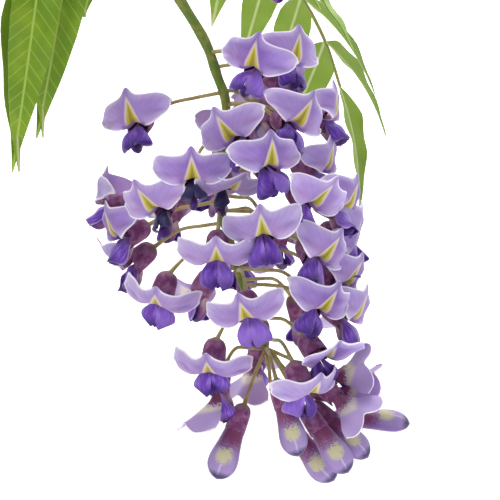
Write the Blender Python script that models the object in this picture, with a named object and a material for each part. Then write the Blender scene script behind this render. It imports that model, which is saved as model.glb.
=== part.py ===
"""A young wisteria trained in a plain clay pot, in bloom with one hanging flower cluster.

Sizes are written in millimetres and turned to metres when the meshes are made.
The origin is the centre of the pot's underside, +Z is up, and the cluster hangs on the +X side.
A floret is shaped in its own frame: x across it, y out of its throat, z up to its banner petal.
"""

import math
import random

import bmesh
import bpy
from mathutils import Matrix, Vector

MM = 0.001
FIT_GAP = 0.3

POT_HEIGHT = 150.0
POT_TOP_RADIUS = 85.0
POT_FOOT_RADIUS = 60.0
POT_WALL = 7.0
POT_FLOOR = 9.0
RIM_HEIGHT = 26.0
RIM_STEP = 5.0
POT_SIDES = 36
DRAIN_HOLES = 3
DRAIN_RADIUS = 6.0
DRAIN_CIRCLE = 30.0

SOIL_TOP = POT_HEIGHT - 18.0
SOIL_CROWN = 5.0

TRUNK_ROOT_RADIUS = 17.0
TRUNK_POINTS = [
    (0, 0, 70), (0, 0, 140), (-4, 3, 160), (-7, 4, 188), (6, -5, 225), (9, -4, 262),
    (-3, 5, 300), (0, 5, 335), (16, 1, 372), (46, 0, 404), (82, 0, 425), (121, 0, 437),
]
TRUNK_RADII = [15, 15, 13.6, 12.3, 11, 10.2, 9.2, 8.2, 7, 5.6, 4.4, 3.2]
TRUNK_SIDES = 10

# Short woody spurs, each with a leaf at its tip: (root inside the trunk, tip, radius).
TRUNK_SPURS = [
    ((-3, 5, 300), (-20, 12, 318), 3.4), ((6, -5, 228), (20, -16, 240), 3.2),
    ((8, 3, 355), (-8, -6, 384), 3.4), ((30, 0, 388), (24, 14, 412), 3.0),
    ((64, 0, 415), (60, -4, 438), 2.8), ((45, 0, 403), (43, -14, 412), 2.4),
    ((117, -1, 435.5), (129, -14, 437), 2.2), ((108, 0, 433), (114, 8, 446), 2.2),
]

# The middle of the cluster. Florets and the stalk are placed from here as (across, up, towards the front).
CLUSTER = Vector((165.0, 0.0, 330.0))
STALK_POINTS = [
    (-42, 107.5), (-36.5, 100), (-29, 91), (-22.4, 80), (-14.4, 66.6), (-10.6, 56), (-7.7, 46.4),
    (-8.2, 28.8), (-9, 12.5), (-6.4, 3.2), (-4.2, -5.8), (0, -17.6), (4.2, -28), (5.2, -32),
]
STALK_TOP_RADIUS = 1.9
STALK_TIP_RADIUS = 1.0
STALK_SIDES = 6
PEDICEL_RADIUS = 0.62
PEDICEL_SIDES = 3

# Florets as they stand at the front: (across, up, towards), turned to the right, nodding down, leaning, openness.
FRONT_FLORETS = [
    (8, 85, 6, 40, 0, 0, 0.8), (-16, 101, 14, -20, 10, -10, 1.0),
    (0, 54, 25, -26, 22, 18, 1.0), (13.5, 57, 14, 36, 15, 8, 1.0), (-36.5, 37.5, 8, -18, 22, -10, 1.0),
    (-4, 32, 30, -18, 32, -28, 1.0), (13.5, 37, 24, 30, 22, 28, 1.0), (27, 40, 4, 78, 10, 0, 1.0),
    (6.3, 23, 37, 30, 26, -8, 1.0), (-17.5, 19, 32, 0, 40, -2, 1.0), (-8, 17, 22, 30, 62, 0, 0.8),
    (-28.2, 10.4, 25, -28, 42, -20, 0.95), (-48, 13.5, -12, -105, 5, 0, 1.0), (-42, 2, 5, -65, 28, -5, 1.0),
    (-40, -7, -8, -85, 40, 0, 0.8), (4.4, 1.9, 37, 3, 44, -8, 1.0), (18, 12, 29, 35, 38, 20, 0.8),
    (30, 11, 12, 62, 22, 20, 1.0), (24, 23, 8, 70, 20, 0, 1.0), (-10, -5.4, 34, -2, 66, 0, 1.12),
    (20.7, -5, 28, 30, 38, 26, 1.0), (31, -4, 6, 80, 25, 10, 1.0), (0, -23.3, 34, 8, 56, -22, 1.05),
    (20.4, -21, 28, 25, 45, 20, 1.0), (32, -24, 12, 62, 32, 10, 1.0), (-29, -18.5, 14, -60, 70, 52, 1.12),
    (-12, -39.5, 22, -30, 76, 20, 1.15), (22.5, -35.5, 24, 40, 42, -15, 0.6), (17, -46, 27, 60, 68, -28, 1.1),
    (30, -40, 6, 82, -6, -72, 0.36), (31, -46, 4, 85, 4, -48, 0.33), (29.5, -48.5, 15, 80, 40, -74, 0.38),
    (38.5, -55, -4, 85, 3, -40, 0.0), (28, -57, 7, 80, 42, -60, 0.2), (23.6, -59.3, 14, 80, 55, -72, 0.0),
    (18.5, -63.5, 4, 80, 50, -90, 0.0), (11.5, -52, 20, 75, 73, -70, 0.15), (-10, -48.5, 14, -50, 78, 0, 0.35),
    (-6, -60, 13, -70, 68, 64, 0.1), (1.5, -40, -10, -60, 80, 40, 0.35), (33, 2, 2, 78, 22, 10, 1.0),
    (29, -13, 12, 55, 38, 15, 1.0),
]
# Florets behind follow the cluster's own spiral, from the top down.
BACK_FLORETS = 11
BACK_TOP = 52.0
BACK_STEP = 8.6
BACK_TURN = 40.0
BACK_LEVEL = 30.0
BACK_MIDDLE = (145.0, 185.0)
BACK_REACH = 27.0
SEED = 7

CALYX_LENGTH = 12.5
CLAW_START = -5.5
BANNER_THICK = 0.7
LEAF_THICK = 0.7

# Leaves: name, spur, heading in degrees from +X, first rise, last rise, length, pairs, the step of the first
# pair, leaflet length, hang.
LEAVES = [
    ("leaf_left_of_cluster", 6, 210, 5, -40, 43, 3, 1, 76, 1.5),
    ("leaf_behind_cluster", 7, 30, 8, -74, 122, 5, 2, 50, 0.35),
    ("leaf_top", 4, 60, 62, 5, 150, 6, 2, 46, 0.45),
    ("leaf_front", 5, 250, 40, -30, 130, 5, 2, 46, 0.5),
    ("leaf_back", 3, 140, 55, -15, 150, 6, 2, 46, 0.5),
    ("leaf_high_left", 2, 205, 50, -10, 160, 6, 2, 48, 0.5),
    ("leaf_left", 0, 160, 35, -35, 145, 5, 2, 46, 0.55),
    ("leaf_low_front", 1, 290, 35, -35, 120, 5, 2, 42, 0.5),
]
RACHIS_HALF = 0.9
LEAFLET_ASPECT = 0.13
LEAFLET_WIDEST = 7.4


def material(name, colour, roughness):
    made = bpy.data.materials.new(name)
    made.use_nodes = True
    shader = made.node_tree.nodes["Principled BSDF"]
    shader.inputs["Base Color"].default_value = (*colour, 1.0)
    shader.inputs["Roughness"].default_value = roughness
    made.diffuse_color = (*colour, 1.0)
    return made


def add_object(name, mesh_data, finish, smooth=30.0):
    made = bpy.data.objects.new(name, mesh_data)
    bpy.context.scene.collection.objects.link(made)
    made.data.materials.append(finish)
    made.data.shade_smooth()
    made.data.set_sharp_from_angle(angle=math.radians(smooth))
    return made


def mesh_from(name, points, faces):
    """A mesh in metres from points in millimetres, with its faces turned outwards."""
    made = bpy.data.meshes.new(name)
    made.from_pydata([tuple(p * MM for p in point) for point in points], [], faces)
    shaper = bmesh.new()
    shaper.from_mesh(made)
    bmesh.ops.recalc_face_normals(shaper, faces=shaper.faces)
    bmesh.ops.triangulate(shaper, faces=shaper.faces)
    shaper.to_mesh(made)
    shaper.free()
    return made


def blended(table, at):
    """Reads a value from (place, value) pairs, straight between them."""
    for (low, first), (high, second) in zip(table, table[1:]):
        if at <= high:
            share = (at - low) / (high - low)
            return first + (second - first) * max(share, 0.0)
    return table[-1][1]


def smooth_line(points, pieces):
    """A smooth curve through the points, with this many pieces between two of them."""
    ends = [points[0], *points, points[-1]]
    line = []
    for a, b, c, d in zip(ends, ends[1:], ends[2:], ends[3:]):
        for step in range(pieces):
            t = step / pieces
            line.append(0.5 * ((2 * b) + (c - a) * t + (2 * a - 5 * b + 4 * c - d) * t * t
                               + (3 * b - a - 3 * c + d) * t ** 3))
    line.append(points[-1])
    return line


def loft(rings, close_start=True, close_end=True):
    """Points and faces of a closed skin over rings with equal point counts. A one-point ring is a tip."""
    points, faces, starts = [], [], []
    for ring in rings:
        starts.append(len(points))
        points.extend(ring)
    for (a, ring_a), (b, ring_b) in zip(zip(starts, rings), zip(starts[1:], rings[1:])):
        sides = max(len(ring_a), len(ring_b))
        for i in range(sides):
            j = (i + 1) % sides
            if len(ring_b) == 1:
                faces.append((a + i, a + j, b))
            elif len(ring_a) == 1:
                faces.append((a, b + j, b + i))
            else:
                faces.append((a + i, a + j, b + j, b + i))
    if close_start and len(rings[0]) > 1:
        faces.append(tuple(range(len(rings[0]))))
    if close_end and len(rings[-1]) > 1:
        faces.append(tuple(starts[-1] + i for i in range(len(rings[-1]))))
    return points, faces


def tube(line, radii, sides):
    """A closed tube along a line of points. Its rings are carried along without twist."""
    rings = []
    across = None
    for i, point in enumerate(line):
        ahead = line[min(i + 1, len(line) - 1)] - line[max(i - 1, 0)]
        ahead.normalize()
        if across is None:
            across = ahead.orthogonal().normalized()
        across = (across - ahead * across.dot(ahead)).normalized()
        other = ahead.cross(across)
        turns = [2 * math.pi * k / sides for k in range(sides)]
        rings.append([point + (across * math.cos(t) + other * math.sin(t)) * radii[i] for t in turns])
    return loft(rings)


def blade(rows, thickness):
    """A closed thin petal or leaflet, half its thickness to each side. Its first and last rows are single points."""
    wide = len(rows[1])
    middle = wide // 2
    even = [row if len(row) > 1 else row * wide for row in rows]
    high = len(rows)
    upper, lower, index = [], [], []
    for r, row in enumerate(rows):
        names = []
        for c, point in enumerate(row):
            col = c if len(row) > 1 else middle
            along = even[min(r + 1, high - 1)][col] - even[max(r - 1, 0)][col]
            beside = even[min(max(r, 1), high - 2)]
            across = beside[min(col + 1, wide - 1)] - beside[max(col - 1, 0)]
            normal = across.cross(along).normalized() * thickness / 2
            names.append(len(upper))
            upper.append(point + normal)
            lower.append(point - normal)
        index.append(names if len(row) > 1 else names * wide)
    count = len(upper)
    faces = []
    for a, b in zip(index, index[1:]):
        for c in range(wide - 1):
            # The same diagonal on both faces keeps a waved blade from crossing itself.
            for corners in ((a[c], a[c + 1], b[c + 1]), (a[c], b[c + 1], b[c])):
                if len(set(corners)) == 3:
                    faces.append(corners)
                    faces.append(tuple(count + k for k in reversed(corners)))
    edge = [names[-1] for names in index] + [names[0] for names in index[-2:0:-1]]
    for a, b in zip(edge, edge[1:] + edge[:1]):
        faces.append((a, b, count + b, count + a))
    return upper + lower, faces


def fuse(name, shapes, finish):
    """One body from many closed shapes, each (points, faces) in millimetres."""
    parts = bpy.data.collections.new(name + "_parts")
    bpy.context.scene.collection.children.link(parts)
    for number, (points, faces) in enumerate(shapes[1:]):
        piece = bpy.data.objects.new(f"{name}_{number}", mesh_from(name, points, faces))
        parts.objects.link(piece)
    made = add_object(name, mesh_from(name, *shapes[0]), finish)
    union = made.modifiers.new("join", "BOOLEAN")
    union.operation = "UNION"
    union.operand_type = "COLLECTION"
    union.collection = parts
    union.solver = "MANIFOLD"
    bpy.context.view_layer.update()
    graph = bpy.context.evaluated_depsgraph_get()
    joined = bpy.data.meshes.new_from_object(made.evaluated_get(graph))
    made.modifiers.remove(union)
    made.data = joined
    for piece in list(parts.objects):
        bpy.data.objects.remove(piece)
    bpy.data.collections.remove(parts)
    return made


def turned(name, profile, sides, finish):
    """A solid of revolution from a closed outline of (radius, height), in millimetres."""
    rings = []
    for k in range(sides):
        turn = 2 * math.pi * k / sides
        rings.append([Vector((r * math.cos(turn), r * math.sin(turn), z)) for r, z in profile])
    count = len(profile)
    points = [p for ring in rings for p in ring]
    faces = []
    for k in range(sides):
        a, b = k * count, (k + 1) % sides * count
        for i in range(count):
            j = (i + 1) % count
            faces.append((a + i, a + j, b + j, b + i))
    mesh_data = mesh_from(name, points, faces)
    shaper = bmesh.new()
    shaper.from_mesh(mesh_data)
    bmesh.ops.remove_doubles(shaper, verts=shaper.verts, dist=1e-6)
    bmesh.ops.recalc_face_normals(shaper, faces=shaper.faces)
    shaper.to_mesh(mesh_data)
    shaper.free()
    return add_object(name, mesh_data, finish)


def cut(body, radius, low, high, centre):
    """Cuts an upright round hole through a body, all in millimetres."""
    bpy.ops.mesh.primitive_cylinder_add(
        vertices=20, radius=radius * MM, depth=(high - low) * MM,
        location=(centre[0] * MM, centre[1] * MM, (low + high) / 2 * MM))
    cutter = bpy.context.object
    cutter.name = f"{body.name}_cutter_{len(body.modifiers)}"
    cutter.hide_render = True
    cutter.display_type = "WIRE"
    hole = body.modifiers.new("hole", "BOOLEAN")
    hole.operation = "DIFFERENCE"
    hole.object = cutter


def pot_inner_radius(height):
    share = height / POT_HEIGHT
    return POT_FOOT_RADIUS + (POT_TOP_RADIUS - RIM_STEP - POT_FOOT_RADIUS) * share - POT_WALL


def build_pot(clay):
    wall_top = POT_HEIGHT - RIM_HEIGHT
    outer_at_rim = pot_inner_radius(wall_top) + POT_WALL
    profile = [
        (0, 0), (POT_FOOT_RADIUS - 2, 0), (POT_FOOT_RADIUS, 2), (outer_at_rim, wall_top),
        (outer_at_rim + RIM_STEP, wall_top + 1.5), (POT_TOP_RADIUS, POT_HEIGHT - 3),
        (POT_TOP_RADIUS - 3, POT_HEIGHT), (pot_inner_radius(POT_HEIGHT) + 3, POT_HEIGHT),
        (pot_inner_radius(POT_HEIGHT), POT_HEIGHT - 3), (pot_inner_radius(POT_FLOOR), POT_FLOOR + 3),
        (pot_inner_radius(POT_FLOOR) - 3, POT_FLOOR), (0, POT_FLOOR),
    ]
    pot = turned("pot", profile, POT_SIDES, clay)
    for k in range(DRAIN_HOLES):
        turn = 2 * math.pi * k / DRAIN_HOLES
        cut(pot, DRAIN_RADIUS, -5, POT_FLOOR + 5,
            (DRAIN_CIRCLE * math.cos(turn), DRAIN_CIRCLE * math.sin(turn)))


def build_soil(earth):
    bottom = POT_FLOOR + FIT_GAP
    profile = [
        (0, bottom), (pot_inner_radius(bottom) - 5, bottom),
        (pot_inner_radius(bottom) - FIT_GAP - 0.3, bottom + 5),
        (pot_inner_radius(SOIL_TOP) - FIT_GAP - 0.3, SOIL_TOP - 2),
        (pot_inner_radius(SOIL_TOP) - 9, SOIL_TOP), (34, SOIL_TOP + SOIL_CROWN - 1), (0, SOIL_TOP + SOIL_CROWN),
    ]
    soil = turned("soil", profile, 32, earth)
    cut(soil, TRUNK_ROOT_RADIUS, TRUNK_POINTS[0][2] - FIT_GAP, SOIL_TOP + 30, (0, 0))


def spur_line(number):
    root, tip, _ = TRUNK_SPURS[number]
    return [Vector(root), (Vector(root) + Vector(tip)) / 2 + Vector((0, 0, 1.5)), Vector(tip)]


def build_trunk(bark):
    """The woody stem with its old spurs, where the leaves and the cluster grow from."""
    points = [Vector(p) for p in TRUNK_POINTS]
    pieces = 2
    line = smooth_line(points, pieces)
    radii = [blended(list(enumerate(TRUNK_RADII)), k / pieces) for k in range(len(line))]
    ridges = [radius * (1 + 0.05 * math.sin(2.3 * k)) for k, radius in enumerate(radii)]
    shapes = [tube(line, ridges, TRUNK_SIDES)]
    for number, (_, _, radius) in enumerate(TRUNK_SPURS):
        shapes.append(tube(spur_line(number), [radius * 1.3, radius, radius * 0.85], 6))
    fuse("trunk", shapes, bark)


def stalk_point(up):
    """The middle of the cluster's stalk at a height above the cluster's middle."""
    pairs = sorted((z, x) for x, z in STALK_POINTS)
    return CLUSTER + Vector((blended(pairs, up), 0, up))


def stalk_radius(up):
    low, high = STALK_POINTS[-1][1], STALK_POINTS[0][1]
    share = (up - low) / (high - low)
    return STALK_TIP_RADIUS + (STALK_TOP_RADIUS - STALK_TIP_RADIUS) * share


def all_florets():
    """Every floret as (throat, turn, nod, lean, openness)."""
    found = []
    for across, up, towards, turn, nod, lean, opened in FRONT_FLORETS:
        found.append((CLUSTER + Vector((across, -towards, up)), turn, nod, lean, opened))
    chance = random.Random(SEED)
    for k in range(BACK_FLORETS):
        up = BACK_TOP - BACK_STEP * k
        turn = BACK_MIDDLE[up < BACK_LEVEL] + BACK_TURN * ((k % 3) - 1) + chance.uniform(-9, 9)
        ripe = 1.0 - 0.9 * max(0, k - BACK_FLORETS * 0.6) / (BACK_FLORETS * 0.4)
        reach = BACK_REACH + chance.uniform(-3, 3)
        away = Vector((math.sin(math.radians(turn)), -math.cos(math.radians(turn)), 0))
        nod = 18 + 50 * k / BACK_FLORETS + chance.uniform(-5, 5)
        found.append((stalk_point(up) + away * reach, turn, nod, chance.uniform(-12, 12), ripe))
    return found


def floret_matrix(throat, turn, nod, lean):
    """Takes floret coordinates to the part: turned to the right, nodding down, its banner leaning right."""
    spin = Matrix.Rotation(math.radians(turn) + math.pi, 4, "Z")
    tip_down = Matrix.Rotation(-math.radians(nod), 4, "X")
    roll = Matrix.Rotation(-math.radians(lean), 4, "Y")
    return Matrix.Translation(throat) @ spin @ tip_down @ roll


def banner_rows(opened):
    """The banner petal as rows of points from its claw to its tip."""
    width_open = [(0, 2.6), (5, 6.0), (11.5, 12.8), (15.5, 1.2)]
    width_shut = [(0, 2.6), (5, 5.6), (11.5, 7.4), (18.5, 2.2)]
    rise = math.radians(18 + 78 * opened)
    point, rows, last = Vector((0, CLAW_START, 2.6)), [], 0
    for (wide_at, wide), (shut_at, shut) in zip(width_open, width_shut):
        place = wide_at * opened + shut_at * (1 - opened)
        share = min(max((place - 2) / 5, 0), 1)
        angle = rise * share * share * (3 - 2 * share)
        upward = Vector((0, math.cos(angle), math.sin(angle)))
        front = Vector((0, math.sin(angle), -math.cos(angle)))
        point = point + upward * (place - last)
        last = place
        half = wide * opened + shut * (1 - opened)
        fold = math.radians(50 - 66 * min(opened, 1) * share)
        row = []
        for c in (-1, -0.5, 0, 0.5, 1) if 0 < wide_at < width_open[-1][0] else (0,):
            turn = fold * (0.6 + 0.4 * abs(c))
            sideways = Vector((math.cos(turn) * c * half, 0, 0)) + front * math.sin(turn) * abs(c) * half
            sag = upward * 0.3 * abs(c) * half * opened * share
            row.append(point + sideways - sag)
        rows.append(row)
    return rows


def wing_rings(opened):
    """Wings and keel as one low body, from the calyx to the pointed tip."""
    section = [(0, 0.6), (4.9, -1.6), (2.6, -5.4), (-2.6, -5.4), (-4.9, -1.6)]
    grow = 0.8 + 0.2 * opened
    rings = []
    for place, size, drop in ((-5, 0.45, 0), (1.5, 1.0, 0), (5.8, 0.92, -1.2)):
        rings.append([Vector((x * size * grow, place, 1.0 + z * size * grow + drop)) for x, z in section])
    rings.append([Vector((0, 8.8, -4.2))])
    return rings


def bud_rings():
    """A shut floret: the banner wrapped round the rest, widest near its blunt tip."""
    section = [(0, 0.75), (1.0, 0.15), (0.5, -0.7), (-0.5, -0.7), (-1.0, 0.15)]
    rings = []
    for place, size, lift in ((-8, 2.6, 0.4), (-1, 3.3, 0.6), (5.5, 4.6, 0.6), (10, 3.8, 0.4)):
        rings.append([Vector((x * size, place, z * size + lift)) for x, z in section])
    rings.append([Vector((0, 13.2, 0.0))])
    return rings


def calyx_rings():
    rings = []
    for place, radius in ((-CALYX_LENGTH, 1.0), (-CALYX_LENGTH + 2.4, 3.6), (-4.0, 4.0)):
        rings.append([Vector((radius * math.cos(t), place, 0.4 + radius * math.sin(t)))
                      for t in (math.pi * (0.4 * k + 0.5) for k in range(5))])
    return rings


def calyx_tooth():
    """The long lowest tooth of the calyx."""
    return [Vector(p) for p in ((-1.3, -7.0, -2.7), (1.3, -7.0, -2.7), (0, -5.8, -1.6), (0, -0.6, -6.0))], [
        (0, 1, 2), (0, 1, 3), (1, 2, 3), (2, 0, 3)]


def placed(shape, matrix):
    points, faces = shape
    return [matrix @ p for p in points], faces


def floret_shapes(throat, turn, nod, lean, opened):
    matrix = floret_matrix(throat, turn, nod, lean)
    local = [loft(calyx_rings()), calyx_tooth()]
    if opened < 0.3:
        local.append(loft(bud_rings()))
    else:
        local.append(blade(banner_rows(opened), BANNER_THICK))
        local.append(loft(wing_rings(opened)))
    shapes = [placed(shape, matrix) for shape in local]
    shapes.append(pedicel(matrix))
    return shapes


def pedicel(matrix):
    """The fine stalk of a floret, sunk in the cluster's stalk and in the calyx."""
    socket = matrix @ Vector((0, -CALYX_LENGTH + 1.2, 0.4))
    behind = matrix @ Vector((0, -CALYX_LENGTH - 4.0, 1.2))
    reach = (socket - CLUSTER).xy.length
    low, high = STALK_POINTS[-1][1] + 0.5, STALK_POINTS[0][1] - 9
    up = min(max(socket.z - CLUSTER.z + 1.0 + 0.22 * reach, low), high)
    root = stalk_point(up)
    middle = root * 0.45 + behind * 0.55 + Vector((0, 0, 1.2))
    radii = [PEDICEL_RADIUS * 1.2, PEDICEL_RADIUS, PEDICEL_RADIUS]
    return tube([root, middle * 0.6 + behind * 0.4, socket], radii, PEDICEL_SIDES)


def build_cluster(petal):
    line = smooth_line([CLUSTER + Vector((x, 0, z)) for x, z in STALK_POINTS], 1)
    radii = [stalk_radius(z) for x, z in STALK_POINTS]
    shapes = [tube(line, radii, STALK_SIDES)]
    for floret in all_florets():
        shapes.extend(floret_shapes(*floret))
    fuse("flower_cluster", shapes, petal)


def leaf_line(foot, out, first_rise, last_rise, length, steps):
    """The curve of a leaf's stalk, from its foot, as steps + 1 points."""
    point = foot
    line = [foot]
    for k in range(steps):
        rise = math.radians(first_rise + (last_rise - first_rise) * (k + 0.5) / steps)
        point = point + (out * math.cos(rise) + Vector((0, 0, math.sin(rise)))) * length / steps
        line.append(point)
    return line


def leaflet_rows(root, along, face, towards, length):
    """One leaflet as (point, normal) rows: two rows of edge, midrib, edge, then its drawn-out tip."""
    across = face.cross(along).normalized()
    if across.dot(towards) < 0:
        across.negate()
    width = min(length * LEAFLET_ASPECT, LEAFLET_WIDEST)
    rows = []
    for place, wide, sink in ((0.28, 1.0, 0.02), (0.64, 0.76, -0.03)):
        spine = root + along * length * place + face * length * sink
        lift = face * width * wide * 0.28
        rows.append([(spine - across * width * wide + lift, face), (spine, face),
                     (spine + across * width * wide + lift, face)])
    rows.append([(root + along * length - face * length * 0.14, face)])
    return rows


def leaflet_pose(side, ahead, hand, hang):
    """Where a leaflet points and faces. Hand is -1 or 1 for a pair, 0 for the one at the end."""
    up = ahead.cross(side)
    if hand:
        along = side * hand * max(1 - 0.6 * hang, 0.15) + ahead * 0.35 - Vector((0, 0, hang))
    else:
        along = ahead - Vector((0, 0, hang * 0.5))
    along.normalize()
    face = up + side * hand * hang
    return along, (face - along * face.dot(along)).normalized()


def leaf_foot(spur, side, rise, out):
    """Where a leaf starts: its cut end clears the flat tip of its spur by the fit gap."""
    _, before, tip = spur_line(spur)
    axis = (tip - before).normalized()
    up = side.cross(out * math.cos(rise) + Vector((0, 0, math.sin(rise))))
    half = RACHIS_HALF * 1.3
    deepest = abs(side.dot(axis)) * half + abs(up.dot(axis)) * LEAF_THICK / 2
    return tip + axis * (FIT_GAP + 0.03 + deepest)


def build_leaf(name, spur, heading, first_rise, last_rise, length, pairs, first_pair, leaflet_length, hang, green):
    """A feathered leaf cut to its rib, as one thin blade: the stalk, leaflets in pairs and one at the end."""
    turn = math.radians(heading)
    out = Vector((math.cos(turn), math.sin(turn), 0))
    side = Vector((-out.y, out.x, 0))
    steps = pairs + first_pair
    foot = leaf_foot(spur, side, math.radians(first_rise), out)
    line = leaf_line(foot, out, first_rise, last_rise, length, steps)
    upper, faces, rim = [], [], []

    def add(point, normal):
        upper.append((point, normal))
        return len(upper) - 1

    def attach(low, high, rows):
        """Joins leaflet rows to the two rib points low and high."""
        a, b, c = ([add(*spot) for spot in row] for row in rows)
        faces.extend([(low, high, a[1]), (low, a[1], a[0]), (high, a[2], a[1])])
        for k in (0, 1):
            faces.extend([(a[k], a[k + 1], b[k + 1]), (a[k], b[k + 1], b[k]), (b[k], b[k + 1], c[0])])
        rim.extend([(low, a[0]), (a[0], b[0]), (b[0], c[0]), (c[0], b[2]), (b[2], a[2]), (a[2], high)])

    last = None
    for k in range(steps + 1):
        ahead = (line[min(k + 1, steps)] - line[max(k - 1, 0)]).normalized()
        up = ahead.cross(side)
        size = leaflet_length * (0.74 + 0.26 * math.sin(math.pi * (k - 1) / steps)) * (0.62 if k == 1 else 1)
        half = RACHIS_HALF * (1.3 - 0.6 * k / steps)
        near = {hand: add(line[k] + side * hand * half, up) for hand in (-1, 1)}
        if last:
            faces.extend([(last[-1], last[1], near[1]), (last[-1], near[1], near[-1])])
            rim.extend([(last[-1], near[-1]), (near[1], last[1])])
        else:
            rim.append((near[1], near[-1]))
        if k == steps:
            along, face = leaflet_pose(side, ahead, 0, hang)
            attach(near[-1], near[1], leaflet_rows(line[k], along, face, side, size))
            break
        if k < first_pair:
            last = near
            continue
        beyond = line[k] + ahead * 2.4
        far = {hand: add(beyond + side * hand * half, up) for hand in (-1, 1)}
        faces.extend([(near[-1], near[1], far[1]), (near[-1], far[1], far[-1])])
        for hand in (-1, 1):
            along, face = leaflet_pose(side, ahead, hand, hang)
            root = line[k] + ahead * 1.2 + side * hand * half
            attach(near[hand], far[hand], leaflet_rows(root, along, face, ahead, size))
        last = far
    thick = LEAF_THICK / 2
    count = len(upper)
    points = [p + n * thick for p, n in upper] + [p - n * thick for p, n in upper]
    faces = faces + [tuple(count + i for i in reversed(f)) for f in faces]
    faces += [(a, b, count + b, count + a) for a, b in rim]
    add_object(name, mesh_from(name, points, faces), green)


def main():
    for leftover in list(bpy.data.objects):
        bpy.data.objects.remove(leftover)
    build_pot(material("terracotta", (0.55, 0.24, 0.13), 0.85))
    build_soil(material("potting_soil", (0.06, 0.04, 0.028), 0.95))
    build_trunk(material("wisteria_bark", (0.22, 0.17, 0.12), 0.9))
    build_cluster(material("lavender_petal", (0.42, 0.3, 0.66), 0.55))
    green = material("leaf_green", (0.16, 0.34, 0.03), 0.5)
    for leaf in LEAVES:
        build_leaf(*leaf, green)


main()
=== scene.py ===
import math
import random
from functools import partial

import bmesh
import bpy
from mathutils import Matrix, Vector, noise


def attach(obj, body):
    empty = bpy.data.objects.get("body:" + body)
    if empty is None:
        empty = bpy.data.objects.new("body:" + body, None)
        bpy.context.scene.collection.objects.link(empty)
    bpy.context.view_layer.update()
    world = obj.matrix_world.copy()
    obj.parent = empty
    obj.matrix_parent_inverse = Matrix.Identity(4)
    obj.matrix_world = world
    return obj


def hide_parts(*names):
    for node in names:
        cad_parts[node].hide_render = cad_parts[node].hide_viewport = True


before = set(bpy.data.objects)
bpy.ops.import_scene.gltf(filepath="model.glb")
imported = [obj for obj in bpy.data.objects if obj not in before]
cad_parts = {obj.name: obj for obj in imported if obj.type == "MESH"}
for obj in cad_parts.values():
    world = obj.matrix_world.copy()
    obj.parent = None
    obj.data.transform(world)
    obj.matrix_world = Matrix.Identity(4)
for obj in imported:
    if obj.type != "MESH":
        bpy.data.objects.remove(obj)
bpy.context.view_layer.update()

mm = 0.001  # tables are in millimetres, as the CAD's are
body = "root"


# small helpers

def hexColour(text):
    # sRGB hex to the linear values Blender mixes in
    values = [int(text[i:i + 2], 16) / 255 for i in (1, 3, 5)]
    return tuple(v / 12.92 if v <= 0.04045 else ((v + 0.055) / 1.055) ** 2.4 for v in values) + (1.0,)


def perMetre(size):
    # scale on Object coordinates, to two digits, of a pattern whose marks are this many mm across
    return float(f"{1000 / size:.2g}")


# Blender's name, fixed settings, the inputs that values go to in turn, the output that is read
nodeKinds = {
    "place": ("ShaderNodeTexCoord", {}, (), "Object"),
    "uv": ("ShaderNodeUVMap", {"uv_map": "UVMap"}, (), 0),
    "tint": ("ShaderNodeAttribute", {"attribute_name": "petal"}, (), 0),
    "split": ("ShaderNodeSeparateXYZ", {}, (0,), None),
    "splitColour": ("ShaderNodeSeparateColor", {}, (0,), None),
    "mapping": ("ShaderNodeMapping", {}, ("Vector",), 0),
    "noise": ("ShaderNodeTexNoise", {}, ("Vector",), 0),
    "cells": ("ShaderNodeTexVoronoi", {}, ("Vector",), "Distance"),
    # 0 below the second value, 1 above the third, smooth between; the second may be above the third
    "step": ("ShaderNodeMapRange", {"interpolation_type": "SMOOTHSTEP"}, (0, 1, 2), 0),
    # share, the colour under, the colour over
    "mix": ("ShaderNodeMix", {"data_type": "RGBA", "clamp_factor": True}, (0, 6, 7), 2),
    "bump": ("ShaderNodeBump", {}, ("Height",), 0),
    "plus": ("ShaderNodeMath", {"operation": "ADD"}, (0, 1), 0),
    "minus": ("ShaderNodeMath", {"operation": "SUBTRACT"}, (0, 1), 0),
    "times": ("ShaderNodeMath", {"operation": "MULTIPLY"}, (0, 1), 0),
    "timesPlus": ("ShaderNodeMath", {"operation": "MULTIPLY_ADD"}, (0, 1, 2), 0),
    "over": ("ShaderNodeMath", {"operation": "DIVIDE"}, (0, 1), 0),
    "power": ("ShaderNodeMath", {"operation": "POWER"}, (0, 1), 0),
    "absolute": ("ShaderNodeMath", {"operation": "ABSOLUTE"}, (0,), 0),
    "larger": ("ShaderNodeMath", {"operation": "MAXIMUM"}, (0, 1), 0),
    "sine": ("ShaderNodeMath", {"operation": "SINE"}, (0,), 0),
    "angle": ("ShaderNodeMath", {"operation": "ARCTAN2"}, (0, 1), 0),
}


def addNode(tree, kind, *values, **settings):
    # a value or setting is a number, a hex colour, a property's word, or another node's output to link
    typeName, fixed, inputs, output = nodeKinds[kind]
    node = tree.nodes.new(typeName)
    given = dict(zip(inputs, values))
    for key, value in {**fixed, **settings}.items():
        if hasattr(node, key):
            setattr(node, key, value)
        else:
            given[key.title()] = value
    for key, value in given.items():
        if isinstance(value, bpy.types.NodeSocket):
            tree.links.new(value, node.inputs[key])
        else:
            node.inputs[key].default_value = hexColour(value) if isinstance(value, str) else value
    return node.outputs if output is None else node.outputs[output]


def startMaterial(name, settings):
    # a material whose shader has its fixed numbers, and the call that adds a node to it
    made = bpy.data.materials.new(name)
    made.use_nodes = True
    for key, value in settings.items():
        made.node_tree.nodes["Principled BSDF"].inputs[key].default_value = value
    return made, partial(addNode, made.node_tree)


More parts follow.
